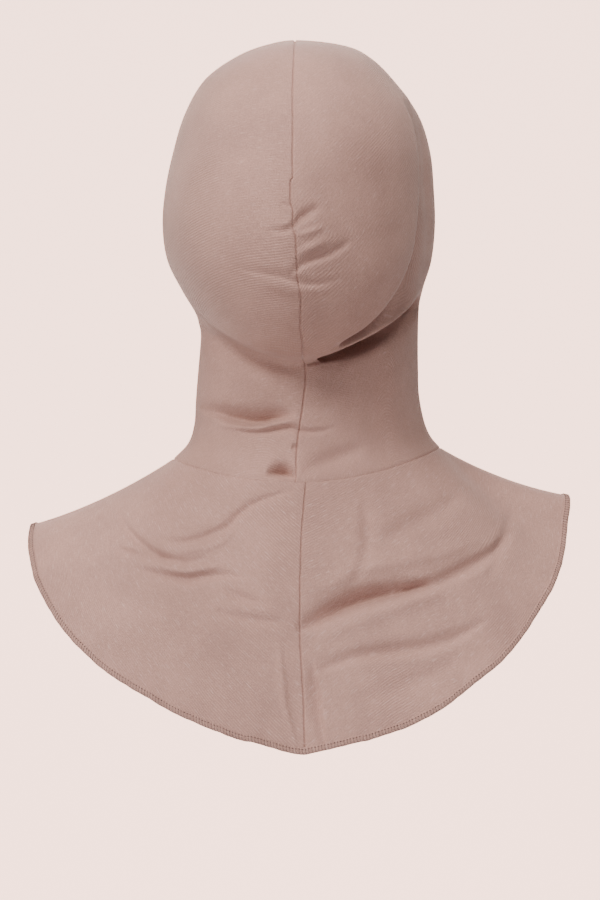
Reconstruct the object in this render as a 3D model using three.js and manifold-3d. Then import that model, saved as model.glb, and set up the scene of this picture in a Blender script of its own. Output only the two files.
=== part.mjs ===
// A jersey underscarf cap in its worn form: a close hood of two panels that covers head and neck,
// and a short cape of two panels that lies on the shoulders. It is hollow, as it is on a head.
// Millimetres, +Z up. The wearer faces -Y, so +Y is the back and +X is the wearer's left.
// The origin is the inside of the crown, where the cap sits on the head.
import * as THREE from "three";
import { mergeVertices } from "three/addons/utils/BufferGeometryUtils.js";
import Module from "manifold-3d";

const wasm = await Module();
wasm.setup();

// Driving sizes of the cloth
const CLOTH = 1.2; // thickness of the jersey
const SEAM_GAP = 0.3; // clearance between two pieces that are sewn together

// Driving sizes of the hood, from the crown's inside
const HOOD_HEIGHT = 187; // down to the fold at the nape
const HOOD_WIDTH = 158; // across the head, over the hair
const HOOD_BACK = 115; // back to the hair
const HOOD_FRONT = 99; // forward to the brow
const NECK_HEIGHT = 68; // fold at the nape to the neck seam
const NECK_WIDTH = 128;
const NECK_BACK = 56; // neck's centre to its back
const NECK_FRONT = 56; // neck's centre to the throat

// Driving sizes of the cape
const CAPE_WIDTH = 313; // across the shoulders
const CAPE_LENGTH = 148; // neck seam down to the lowest point of the back hem
const CAPE_BACK = 104; // neck's centre to the back hem
const CAPE_FRONT = 112; // neck's centre to the front hem

// Driving sizes of the face opening, seen from the front
const FOREHEAD = 64; // crown down to the opening
const CHEEK = 26; // hood beside the opening
const CHIN = 27; // fold at the nape down to the opening's lowest point
const CHIN_NARROWS = 0.22; // how much narrower the opening is at the chin, as a share

// Driving sizes of the hems
const FACE_HEM_SIDE = 5; // seen from the front, beside the cheek
const FACE_HEM_END = 8; // and at forehead and chin
const FACE_HEM_THICK = 2.2;
const CAPE_HEM_WIDTH = 4.5; // the overlocked edge
const CAPE_HEM_THICK = 2.2;

// Mesh fineness
const ROUND = 25; // cells of each panel from the centre back to the centre front
const CROWDING = 1.25; // how much finer they are at the back, where the folds are
const HOOD_DOWN = 2; // cells between two sections
const CAPE_DOWN = 11;
const FACE_HEM_ROUND = 40;
const BAND_SIDES = 8;
const FOLD_STEPS = 12;
const LINE_STEPS = 20;
const SEARCH_STEPS = 30;

// Sections of the head, from the crown down. Drops are shares of HOOD_HEIGHT. seam, brow, left and
// right are shares of half HOOD_WIDTH, back of HOOD_BACK and front of HOOD_FRONT. seam and brow
// say how far left of the middle the centre seam lies at the back and at the front.
const SECTION = [
  "seam", "brow", "leftDrop", "left", "rightDrop", "right", "backDrop", "back", "frontDrop", "front",
];
const HEAD_SECTIONS = table(SECTION, [
  [0.058, 0.058, 0.000, 0.058, 0.000, -0.058, 0.000, 0.000, 0.000, 0.000],
  [0.061, 0.050, 0.021, 0.291, 0.021, 0.325, 0.023, 0.296, 0.019, 0.293],
  [0.067, 0.040, 0.059, 0.510, 0.059, 0.508, 0.064, 0.496, 0.053, 0.495],
  [0.073, 0.025, 0.128, 0.728, 0.128, 0.671, 0.144, 0.687, 0.118, 0.697],
  [0.071, 0.010, 0.230, 0.867, 0.230, 0.848, 0.257, 0.843, 0.214, 0.848],
  [0.070, 0.000, 0.342, 0.949, 0.342, 0.934, 0.380, 0.939, 0.326, 0.949],
  [0.080, 0.000, 0.460, 1.008, 0.460, 0.962, 0.508, 0.987, 0.449, 0.990],
  [0.070, 0.000, 0.572, 1.029, 0.572, 0.970, 0.631, 1.000, 0.578, 1.000],
  [0.044, 0.000, 0.679, 0.995, 0.679, 0.944, 0.743, 0.965, 0.711, 0.990],
  [0.028, 0.000, 0.770, 0.891, 0.759, 0.886, 0.845, 0.878, 0.860, 0.980],
  [0.015, 0.000, 0.840, 0.792, 0.807, 0.858, 0.930, 0.757, 0.989, 0.960],
  [0.004, 0.000, 0.877, 0.763, 0.834, 0.851, 0.984, 0.635, 1.086, 0.919],
]);

// Sections of the neck. Drops are shares of NECK_HEIGHT below the nape. seam, brow, left and right
// are shares of half NECK_WIDTH, back of NECK_BACK and front of NECK_FRONT.
const NECK_SECTIONS = table(SECTION, [
  [-0.016, 0, -0.250, 0.925, -0.397, 1.047, 0.000, 1.071, 0.456, 1.482],
  [-0.025, 0, -0.103, 0.934, -0.191, 1.042, 0.088, 0.991, 0.588, 1.286],
  [-0.016, 0, 0.103, 0.953, 0.044, 1.044, 0.250, 0.964, 0.706, 1.107],
  [0.008, 0, 0.309, 0.970, 0.265, 1.052, 0.426, 0.955, 0.824, 1.000],
  [0.041, 0, 0.515, 0.984, 0.485, 1.097, 0.618, 0.982, 0.941, 0.964],
  [0.061, 0, 0.676, 1.039, 0.618, 1.156, 0.809, 1.036, 1.074, 0.973],
  [0.061, 0, 0.809, 1.172, 0.713, 1.242, 1.000, 1.125, 1.250, 1.054],
]);

// The cape's slopes from the neck seam to the hem, from the centre back to the centre front.
// bearing is in degrees at the neck seam. left and right are shares of half CAPE_WIDTH, depth of
// CAPE_BACK or, where negative, CAPE_FRONT. Drops are shares of CAPE_LENGTH below the neck seam,
// and out and up bow the slope, as shares of CAPE_LENGTH.
const CAPE_SLOPES = table(["bearing", "depth", "left", "leftDrop", "right", "rightDrop", "out", "up"], [
  [0, 1.000, 0.000, 1.005, 0.000, 1.005, 0.05, 0.00],
  [12, 1.000, 0.161, 0.967, 0.168, 0.967, 0.05, 0.00],
  [24, 0.990, 0.301, 0.924, 0.322, 0.924, 0.05, 0.00],
  [36, 0.962, 0.485, 0.836, 0.495, 0.836, 0.05, 0.01],
  [46, 0.913, 0.627, 0.750, 0.599, 0.750, 0.05, 0.02],
  [55, 0.846, 0.749, 0.663, 0.710, 0.663, 0.05, 0.02],
  [65, 0.721, 0.869, 0.533, 0.812, 0.533, 0.04, 0.00],
  [74, 0.567, 0.952, 0.402, 0.898, 0.402, 0.02, -0.03],
  [83, 0.346, 1.000, 0.255, 0.952, 0.262, 0.00, -0.05],
  [92, 0.110, 1.002, 0.174, 0.984, 0.070, 0.00, -0.05],
  [102, -0.125, 0.978, 0.200, 0.960, 0.090, 0.00, -0.04],
  [114, -0.375, 0.930, 0.310, 0.915, 0.240, 0.02, -0.02],
  [127, -0.625, 0.830, 0.480, 0.820, 0.430, 0.03, 0.02],
  [142, -0.821, 0.640, 0.655, 0.640, 0.630, 0.04, 0.03],
  [160, -0.946, 0.332, 0.805, 0.332, 0.797, 0.05, 0.03],
  [180, -1.000, 0.000, 0.870, 0.000, 0.870, 0.05, 0.03],
]);

// Folds of the back, a ridge where lift is positive and a valley where it is negative. Each runs
// from one place over a second to a third, as seen from behind. On the head, x, wide and lift are
// shares of half HOOD_WIDTH and drops of HOOD_HEIGHT.
const FOLD = ["fromX", "fromDrop", "overX", "overDrop", "toX", "toDrop", "wide", "lift"];
const HEAD_FOLDS = table(FOLD, [
  [-0.838, 0.385, -0.829, 0.556, -0.794, 0.738, 0.045, -0.045],
  [-0.797, 0.712, -0.684, 0.818, -0.380, 0.928, 0.042, -0.050],
  [0.620, 0.925, 0.300, 0.985, -0.030, 1.002, 0.045, -0.022],
  [0.000, 1.002, -0.430, 0.965, -0.810, 0.835, 0.045, -0.045],
  [0.013, 0.594, -0.050, 0.572, -0.127, 0.556, 0.040, -0.016],
  [0.038, 0.636, -0.089, 0.620, -0.253, 0.604, 0.045, 0.012],
  [0.025, 0.733, -0.100, 0.711, -0.240, 0.690, 0.045, -0.016],
  [0.304, 0.743, 0.063, 0.770, -0.152, 0.778, 0.038, -0.015],
]);

// On the neck, x, wide and lift are shares of half NECK_WIDTH, and drops of NECK_HEIGHT below the
// nape.
const NECK_FOLDS = table(FOLD, [
  [0.860, 0.353, 0.594, 0.375, 0.172, 0.485, 0.070, -0.040],
  [0.625, 0.551, 0.219, 0.581, -0.250, 0.544, 0.042, -0.026],
  [0.312, 0.838, 0.203, 0.897, 0.110, 0.941, 0.050, -0.034],
  [0.000, 0.868, -0.188, 0.853, -0.406, 0.794, 0.075, -0.020],
]);

// On the cape, x, wide and lift are shares of half CAPE_WIDTH, and drops of CAPE_LENGTH below the
// neck seam.
const CAPE_FOLDS = table(FOLD, [
  [0.613, 0.149, 0.422, 0.230, 0.204, 0.095, 0.045, -0.018],
  [0.677, 0.257, 0.428, 0.365, 0.179, 0.264, 0.038, -0.011],
  [-0.019, 0.514, -0.294, 0.385, -0.639, 0.264, 0.037, -0.021],
  [-0.051, 0.426, -0.307, 0.304, -0.639, 0.189, 0.045, 0.010],
  [-0.115, 0.608, -0.396, 0.574, -0.697, 0.527, 0.040, -0.009],
  [0.051, 0.723, 0.032, 0.858, 0.000, 0.973, 0.022, 0.008],
]);

// How far the cloth must face backwards for its folds to begin, and to be full.
const FOLDS_BEGIN = 0.05;
const FOLDS_FULL = 0.25;

const UP = new THREE.Vector3(0, 0, 1);

// The rows of a table as objects, with the columns named once.
function table(columns, rows) {
  return rows.map((row) => Object.fromEntries(columns.map((name, i) => [name, row[i]])));
}

// A smooth value between the second and third of four in a row, at share t.
function blend(a, b, c, d, t) {
  const slope = c - a;
  const bend = 2 * a - 5 * b + 4 * c - d;
  const turn = 3 * b - a - 3 * c + d;
  return b + 0.5 * t * (slope + t * (bend + t * turn));
}

// A smooth row between the rows of a table, at a place that counts rows. before and after carry
// the table on past its ends.
function between(rows, place, before, after) {
  const i = THREE.MathUtils.clamp(Math.floor(place), 0, rows.length - 2);
  const [a, b, c, d] = [rows[i - 1] ?? before, rows[i], rows[i + 1], rows[i + 2] ?? after];
  const made = {};
  for (const key of Object.keys(b)) {
    made[key] = blend(a[key], b[key], c[key], d[key], place - i);
  }
  return made;
}

// The hood's sections in millimetres, head and neck together.
const SECTIONS = [
  ...HEAD_SECTIONS.map((s) => section(s, 0, HOOD_HEIGHT, HOOD_WIDTH / 2, HOOD_BACK, HOOD_FRONT)),
  ...NECK_SECTIONS.map((s) => section(s, HOOD_HEIGHT, NECK_HEIGHT, NECK_WIDTH / 2, NECK_BACK, NECK_FRONT)),
];
const NECK_SEAM = SECTIONS.length - 1; // the level of the lowest section
const OVER_CROWN = acrossCrown(SECTIONS[1]);
const BELOW_NECK = continued(SECTIONS[NECK_SEAM - 1], SECTIONS[NECK_SEAM]);

function section(s, top, height, across, back, front) {
  return {
    seam: s.seam * across,
    brow: s.brow * across,
    left: s.left * across,
    right: s.right * across,
    back: s.back * back,
    front: s.front * front,
    leftDrop: top + s.leftDrop * height,
    rightDrop: top + s.rightDrop * height,
    backDrop: top + s.backDrop * height,
    frontDrop: top + s.frontDrop * height,
  };
}

// The section that carries each curve over the crown to its other side.
function acrossCrown(s) {
  return {
    seam: s.brow,
    brow: s.seam,
    left: -s.right,
    right: -s.left,
    back: -s.front,
    front: -s.back,
    leftDrop: s.rightDrop,
    rightDrop: s.leftDrop,
    backDrop: s.frontDrop,
    frontDrop: s.backDrop,
  };
}

function continued(a, b) {
  return Object.fromEntries(Object.keys(b).map((key) => [key, 2 * b[key] - a[key]]));
}

// A point of the hood's smooth outer face. bearing turns from the back (0) over the wearer's left
// (90) to the front (180), and is negative on the right. level counts sections from the crown.
function hoodPoint(bearing, level) {
  const s = between(SECTIONS, level, OVER_CROWN, BELOW_NECK);
  const sin = Math.sin(THREE.MathUtils.degToRad(bearing));
  const cos = Math.cos(THREE.MathUtils.degToRad(bearing));
  const middle = cos >= 0 ? s.seam : s.brow;
  const edge = sin >= 0 ? s.left : -s.right;
  const sideDrop = sin >= 0 ? s.leftDrop : s.rightDrop;
  const endDrop = cos >= 0 ? s.backDrop : s.frontDrop;
  return new THREE.Vector3(
    middle + (edge - middle) * Math.abs(sin),
    (cos >= 0 ? s.back : s.front) * cos,
    CLOTH - sideDrop * sin * sin - endDrop * cos * cos,
  );
}

// The cape's slopes in millimetres, from the right of the centre front over the back to the left.
const SLOPES = [
  ...CAPE_SLOPES.slice(1).reverse().map((s) => slope(s, -1, s.right, s.rightDrop)),
  ...CAPE_SLOPES.map((s) => slope(s, 1, s.left, s.leftDrop)),
];

function slope(s, side, across, drop) {
  return {
    bearing: side * s.bearing,
    across: (side * across * CAPE_WIDTH) / 2,
    depth: s.depth * (s.depth > 0 ? CAPE_BACK : CAPE_FRONT),
    drop: HOOD_HEIGHT + NECK_HEIGHT + drop * CAPE_LENGTH,
    out: s.out * CAPE_LENGTH,
    up: s.up * CAPE_LENGTH,
  };
}

function slopeAt(bearing) {
  const turned = THREE.MathUtils.euclideanModulo(bearing + 180, 360) - 180;
  const i = SLOPES.findLastIndex((s) => s.bearing <= turned);
  const share = (turned - SLOPES[i].bearing) / (SLOPES[i + 1].bearing - SLOPES[i].bearing);
  return between(SLOPES, i + share, SLOPES[SLOPES.length - 2], SLOPES[1]);
}

// The line that the cape follows from the neck seam to its hem.
function capeLine(bearing) {
  const s = slopeAt(bearing);
  const neck = hoodPoint(bearing, NECK_SEAM);
  const hem = new THREE.Vector3(s.across, s.depth, CLOTH - s.drop);
  const away = new THREE.Vector3(hem.x, hem.y, 0).normalize();
  const bow = neck.clone().lerp(hem, 0.5).addScaledVector(away, s.out).addScaledVector(UP, s.up);
  neck.addScaledVector(bow.clone().sub(neck).normalize(), SEAM_GAP);
  const line = new THREE.QuadraticBezierCurve3(neck, bow, hem);
  line.arcLengthDivisions = LINE_STEPS;
  return line;
}

// A point of the cape's smooth outer face. down is the share of its line, from the neck seam.
function capePoint(bearing, down) {
  return capeLine(bearing).getPointAt(down);
}

// The two faces, each with its last place downwards.
const HOOD = { at: hoodPoint, last: NECK_SEAM };
const CAPE = { at: capePoint, last: 1 };

// The outward normal of a face at a bearing and a place downwards.
function normalAt(face, bearing, down) {
  const step = 0.005;
  const inside = THREE.MathUtils.clamp(down, step, face.last - step);
  const round = face.at(bearing + step, inside).sub(face.at(bearing - step, inside));
  const along = face.at(bearing, inside + step).sub(face.at(bearing, inside - step));
  return round.cross(along).normalize();
}

// The folds of one table in millimetres, each with its line as seen from behind.
function folds(rows, across, top, height) {
  return rows.map((f) => {
    const from = new THREE.Vector2(f.fromX * across, CLOTH - top - f.fromDrop * height);
    const over = new THREE.Vector2(f.overX * across, CLOTH - top - f.overDrop * height);
    const to = new THREE.Vector2(f.toX * across, CLOTH - top - f.toDrop * height);
    const pull = over.clone().multiplyScalar(2).addScaledVector(from, -0.5).addScaledVector(to, -0.5);
    const line = new THREE.QuadraticBezierCurve(from, pull, to).getPoints(FOLD_STEPS);
    return { line, wide: f.wide * across, lift: f.lift * across };
  });
}

const FOLDS = [
  ...folds(HEAD_FOLDS, HOOD_WIDTH / 2, 0, HOOD_HEIGHT),
  ...folds(NECK_FOLDS, NECK_WIDTH / 2, HOOD_HEIGHT, NECK_HEIGHT),
  ...folds(CAPE_FOLDS, CAPE_WIDTH / 2, HOOD_HEIGHT + NECK_HEIGHT, CAPE_LENGTH),
];

// How far one fold lifts a point: most on its line, less beside it and towards its two ends.
function liftOf({ line, wide, lift }, point) {
  const place = new THREE.Vector2(point.x, point.z);
  let nearest = Infinity;
  let share = 0;
  for (let i = 0; i < FOLD_STEPS; i += 1) {
    const step = line[i + 1].clone().sub(line[i]);
    const along = THREE.MathUtils.clamp(place.clone().sub(line[i]).dot(step) / step.lengthSq(), 0, 1);
    const away = line[i].clone().addScaledVector(step, along).distanceTo(place);
    if (away < nearest) {
      nearest = away;
      share = (i + along) / FOLD_STEPS;
    }
  }
  return lift * Math.sqrt(Math.sin(Math.PI * share)) * Math.exp(-((nearest / wide) ** 2));
}

// A place on a face with its folds, which fade where the face turns away from the back.
function place(face, bearing, down) {
  const point = face.at(bearing, down);
  const normal = face === HOOD && down === 0 ? UP.clone() : normalAt(face, bearing, down);
  const facing = THREE.MathUtils.smoothstep(normal.y, FOLDS_BEGIN, FOLDS_FULL);
  const lift = facing > 0 ? FOLDS.reduce((sum, fold) => sum + liftOf(fold, point), 0) : 0;
  return { point: point.addScaledVector(normal, lift * facing), normal };
}

// A closed geometry with its vertices moved by a function: corners that meet are merged, and faces
// that collapse are left out.
function shaped(geometry, move) {
  geometry.deleteAttribute("normal");
  geometry.deleteAttribute("uv");
  const places = geometry.attributes.position;
  for (let i = 0; i < places.count; i += 1) {
    const to = move(places.getX(i), places.getY(i), places.getZ(i));
    places.setXYZ(i, to.x, to.y, to.z);
  }
  const merged = mergeVertices(geometry, 1e-3);
  const corners = Array.from(merged.index.array);
  const kept = [];
  for (let i = 0; i < corners.length; i += 3) {
    const [a, b, c] = corners.slice(i, i + 3);
    if (a !== b && b !== c && c !== a) kept.push(a, b, c);
  }
  merged.setIndex(kept);
  return merged;
}

// A panel of cloth: a slab whose outer side is laid on a face. at(u, v) is the place, with u from
// 0 to 1 towards the right as seen from outside, and v from 0 to 1 upwards.
function panel(side, cellsRound, cellsDown, at) {
  const slab = new THREE.BoxGeometry(1, 1, 1, cellsRound, cellsDown, 1);
  return shaped(slab, (x, y, z) => {
    const { point, normal } = at(x + 0.5, y + 0.5);
    point.x += (side * SEAM_GAP) / 2;
    return z > 0 ? point : point.addScaledVector(normal, -CLOTH);
  });
}

// A hem round a ring, with rounded corners. edges(turn) gives its two edges and its normal.
function band(cellsRound, thick, edges) {
  const ring = new THREE.TorusGeometry(2, 1, BAND_SIDES, cellsRound);
  return shaped(ring, (x, y, z) => {
    const { from, to, normal } = edges(Math.atan2(y, x));
    const across = squared(Math.hypot(x, y) - 2);
    const high = (squared(z) * thick) / 2 - CLOTH / 2;
    return from.clone().lerp(to, (1 + across) / 2).addScaledVector(normal, high);
  });
}

// Turns a circle's coordinate into that of a rounded square.
function squared(a) {
  return Math.sign(a) * Math.sqrt(Math.abs(a));
}

// The bearing at a share of the way from the centre back to the centre front, negative on the
// right.
function bearingAt(share) {
  return Math.sign(share) * 180 * Math.abs(share) ** CROWDING;
}

function hoodPanel(side) {
  return panel(side, ROUND, NECK_SEAM * HOOD_DOWN, (u, v) => {
    return place(HOOD, bearingAt(side > 0 ? 1 - u : -u), NECK_SEAM * (1 - v));
  });
}

function capePanel(side) {
  return panel(side, ROUND, CAPE_DOWN, (u, v) => {
    const bearing = bearingAt(side > 0 ? 1 - u : -u);
    const end = 1 - (CAPE_HEM_WIDTH + SEAM_GAP) / capeLine(bearing).getLength();
    return place(CAPE, bearing, end * (1 - v));
  });
}

function capeHem() {
  return band(2 * ROUND, CAPE_HEM_THICK, (turn) => {
    const bearing = bearingAt(-turn / Math.PI);
    const start = 1 - CAPE_HEM_WIDTH / capeLine(bearing).getLength();
    const { point: to, normal } = place(CAPE, bearing, 1);
    return { from: place(CAPE, bearing, start).point, to, normal };
  });
}

// The outline of the face opening seen from the front, with or without its hem and a clearance.
function faceOutline(turn, hems, clearance = 0) {
  const narrow = 1 - CHIN_NARROWS * Math.max(0, -Math.sin(turn));
  const high = (HOOD_HEIGHT + CHIN - FOREHEAD) / 2;
  const wide = HOOD_WIDTH / 2 - CHEEK;
  return new THREE.Vector2(
    (wide + hems * FACE_HEM_SIDE + clearance) * Math.cos(turn) * narrow,
    (high + hems * FACE_HEM_END + clearance) * Math.sin(turn) - FOREHEAD - high,
  );
}

// The place on the hood's front that is seen at x and z from before it.
function onFront(x, z) {
  let top = 0.5;
  let bottom = NECK_SEAM;
  let bearing = 180;
  for (let i = 0; i < SEARCH_STEPS; i += 1) {
    const level = (top + bottom) / 2;
    const s = between(SECTIONS, level, OVER_CROWN, BELOW_NECK);
    const reach = x > s.brow ? s.left - s.brow : s.right + s.brow;
    const share = Math.min(1, Math.abs(x - s.brow) / reach);
    bearing = Math.sign(x - s.brow || 1) * (180 - THREE.MathUtils.radToDeg(Math.asin(share)));
    if (hoodPoint(bearing, level).z > z) top = level;
    else bottom = level;
  }
  return place(HOOD, bearing, top);
}

function faceHem() {
  return band(FACE_HEM_ROUND, FACE_HEM_THICK, (turn) => {
    const inner = faceOutline(turn, 0);
    const outer = faceOutline(turn, 1);
    const { point: from, normal } = onFront(inner.x, inner.y);
    return { from, to: onFront(outer.x, outer.y).point, normal };
  });
}

function solid(geometry) {
  return new wasm.Manifold(new wasm.Mesh({
    numProp: 3,
    vertProperties: new Float32Array(geometry.attributes.position.array),
    triVerts: new Uint32Array(geometry.index.array),
  }));
}

function geometryOf(made) {
  const { vertProperties, triVerts } = made.getMesh();
  const geometry = new THREE.BufferGeometry();
  geometry.setAttribute("position", new THREE.BufferAttribute(new Float32Array(vertProperties), 3));
  geometry.setIndex(new THREE.BufferAttribute(new Uint32Array(triVerts), 1));
  return geometry;
}

// What the face opening and its hem take up of the hood.
function faceRoom() {
  const rim = Array.from({ length: FACE_HEM_ROUND }, (_, i) => {
    return faceOutline((2 * Math.PI * i) / FACE_HEM_ROUND, 1, SEAM_GAP);
  });
  const prism = new THREE.ExtrudeGeometry(new THREE.Shape(rim), {
    depth: 2 * HOOD_FRONT,
    bevelEnabled: false,
  });
  prism.rotateX(Math.PI / 2);
  return solid(shaped(prism, (x, y, z) => ({ x, y, z })));
}

// The materials: one jersey for all four panels, and the same cloth a little darker in the hems,
// where it is folded and oversewn.
function jersey() {
  return new THREE.MeshStandardMaterial({ color: "#ab8d83", roughness: 0.85, metalness: 0 });
}

function hemmed() {
  return new THREE.MeshStandardMaterial({ color: "#977a70", roughness: 0.9, metalness: 0 });
}

function piece(name, geometry, material) {
  const mesh = new THREE.Mesh(geometry, material);
  mesh.name = name;
  return mesh;
}

const room = faceRoom();
const cap = new THREE.Group();
cap.add(
  piece("hood_left", geometryOf(solid(hoodPanel(1)).subtract(room)), jersey()),
  piece("hood_right", geometryOf(solid(hoodPanel(-1)).subtract(room)), jersey()),
  piece("cape_left", capePanel(1), jersey()),
  piece("cape_right", capePanel(-1), jersey()),
  piece("face_hem", faceHem(), hemmed()),
  piece("cape_hem", capeHem(), hemmed()),
);

export default cap;
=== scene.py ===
"""A jersey underscarf cap in its worn form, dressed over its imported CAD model.

Everything is in metres, in the model's frame: the face opening looks to -Y, +X is the cap's left,
+Z is up and the origin is the inside of the crown. The folds are laid on as seen from behind.
"""
import math
import random
from collections import namedtuple

import bmesh
import bpy
import numpy as np
from bpy.props import FloatProperty, FloatVectorProperty, PointerProperty
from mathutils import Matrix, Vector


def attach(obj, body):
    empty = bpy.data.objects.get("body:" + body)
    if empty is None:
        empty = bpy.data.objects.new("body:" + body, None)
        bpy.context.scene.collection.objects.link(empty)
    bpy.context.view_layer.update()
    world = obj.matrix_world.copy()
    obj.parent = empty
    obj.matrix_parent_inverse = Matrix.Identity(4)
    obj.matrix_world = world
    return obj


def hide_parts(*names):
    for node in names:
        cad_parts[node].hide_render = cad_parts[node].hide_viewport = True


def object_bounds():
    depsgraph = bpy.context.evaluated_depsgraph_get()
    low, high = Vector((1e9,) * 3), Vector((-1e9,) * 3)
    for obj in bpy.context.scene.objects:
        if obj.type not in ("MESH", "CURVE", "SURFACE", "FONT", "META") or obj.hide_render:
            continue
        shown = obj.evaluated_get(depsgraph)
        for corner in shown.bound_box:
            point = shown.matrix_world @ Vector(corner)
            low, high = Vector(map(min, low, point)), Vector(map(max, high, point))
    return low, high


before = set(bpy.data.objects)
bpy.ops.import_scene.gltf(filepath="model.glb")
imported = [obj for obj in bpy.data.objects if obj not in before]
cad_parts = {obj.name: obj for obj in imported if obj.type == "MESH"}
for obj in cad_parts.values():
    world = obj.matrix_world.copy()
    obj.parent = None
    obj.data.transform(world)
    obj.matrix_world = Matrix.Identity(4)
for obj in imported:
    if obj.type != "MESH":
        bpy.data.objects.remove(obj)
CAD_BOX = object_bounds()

bl_info = {
    "name": "Underscarf Cap",
    "version": (1, 0, 0),
    "blender": (4, 5, 0),
    "location": "View3D > Sidebar > Cap",
    "description": "Makes a worn jersey underscarf cap with its hems, and a plain studio round it",
    "category": "Add Mesh",
}

LEFT, RIGHT = 1, -1
CENTRE_FRONT = 180.0  # the bearing of the seam in front, from the one at the back

# A panel's edge in a seam is turned in, row by row to the depths in FLANGE. It leans to the cap's
# left or down by LEAN of them, so that the seams stay shut. The row before the hood's sewn edge lies
# SEW_ROW levels above it, and the one after the cape's at the share CAPE_SEW_ROW of the way down.
FLANGE = (0.0012, 0.0026)
LEAN = 0.45
SEW_ROW = 0.003
CAPE_SEW_ROW = 0.0015

# The shares of the seam gap that the cloth keeps, between hood and cape and in the centre seams.
NECK_GAP_SHARE = 0.15
CENTRE_GAP_SHARE = 0.05

# How finely the pieces are divided: across and down a panel, and round a hem's section and along it.
# CROWDING makes the cells finer at the centre back, and NECK_FINER those of the neck, for the folds.
HOOD_CELLS = (176, 271)
CAPE_CELLS = (290, 155)
FACE_HEM_CELLS = (24, 480)
CAPE_HEM_CELLS = (20, 900)
CROWDING = 1.6
NECK_FINER = 1.5

# How far the ribs are turned in the cloth of a part's panels, in radians, and how much slubs show.
Ribs = namedtuple("Ribs", "left right streaky")
HOOD_RIBS = Ribs(1.5, 0.72, 0.32)
CAPE_RIBS = Ribs(0.85, 1.15, 0.5)

# The share of the face hem, from its inner side, at which the cloth under it ends.
CLOTH_UNDER_HEM = 0.5

# The hems as their cloth lies flat: how long, half how wide, and where the inner side is laid.
FACE_HEM_FLAT = (0.45, 0.004, 0.01)
CAPE_HEM_FLAT = (1.0, 0.00225, 0.006)

# Stitches of the overlocked edge: the turns round the edge that the thread passes, in degrees, where
# it starts and ends as shares of a stitch, and its radius.
Stitch = namedtuple("Stitch", "turns start end radius")
NEEDLE = Stitch((98, 96, 98), -0.27, 0.27, 0.00032)
LOOPER = Stitch((94, 72, 48, 20, -15), -0.05, 0.52, 0.00018)

# Sections of the hood down to the nape. Drops are shares of its height. seam, brow, left and right
# are shares of half its width, back and front of its depth behind and before the crown.
Section = namedtuple(
    "Section", "seam brow left_drop left right_drop right back_drop back front_drop front"
)
HOOD_SECTIONS = (
    (0.058, 0.058, 0.000, 0.058, 0.000, -0.058, 0.000, 0.000, 0.000, 0.000),
    (0.061, 0.050, 0.021, 0.291, 0.021, 0.325, 0.023, 0.296, 0.019, 0.293),
    (0.067, 0.040, 0.059, 0.510, 0.059, 0.508, 0.064, 0.496, 0.053, 0.495),
    (0.073, 0.025, 0.128, 0.728, 0.128, 0.671, 0.144, 0.687, 0.118, 0.697),
    (0.071, 0.010, 0.230, 0.867, 0.230, 0.848, 0.257, 0.843, 0.214, 0.848),
    (0.070, 0.000, 0.342, 0.949, 0.342, 0.934, 0.380, 0.939, 0.326, 0.949),
    (0.080, 0.000, 0.460, 1.008, 0.460, 0.962, 0.508, 0.987, 0.449, 0.990),
    (0.070, 0.000, 0.572, 1.029, 0.572, 0.970, 0.631, 1.000, 0.578, 1.000),
    (0.044, 0.000, 0.679, 0.995, 0.679, 0.944, 0.743, 0.965, 0.711, 0.990),
    (0.028, 0.000, 0.770, 0.891, 0.759, 0.886, 0.845, 0.878, 0.860, 0.980),
    (0.015, 0.000, 0.840, 0.792, 0.807, 0.858, 0.930, 0.757, 0.989, 0.960),
    (0.004, 0.000, 0.877, 0.763, 0.834, 0.851, 0.984, 0.635, 1.086, 0.919),
)

# Sections of the neck. Drops are shares of its height below the nape, the others of its sizes.
NECK_SECTIONS = (
    (-0.016, 0, -0.250, 0.925, -0.397, 1.047, 0.000, 1.071, 0.456, 1.482),
    (-0.025, 0, -0.103, 0.934, -0.191, 1.042, 0.088, 0.991, 0.588, 1.286),
    (-0.016, 0, 0.103, 0.953, 0.044, 1.044, 0.250, 0.964, 0.706, 1.107),
    (0.008, 0, 0.309, 0.970, 0.265, 1.052, 0.426, 0.955, 0.824, 1.000),
    (0.041, 0, 0.515, 0.984, 0.485, 1.097, 0.618, 0.982, 0.941, 0.964),
    (0.061, 0, 0.676, 1.039, 0.618, 1.156, 0.809, 1.036, 1.074, 0.973),
    (0.061, 0, 0.809, 1.172, 0.713, 1.242, 1.000, 1.125, 1.250, 1.054),
)
LAST_LEVEL = len(HOOD_SECTIONS) + len(NECK_SECTIONS) - 1

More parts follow.
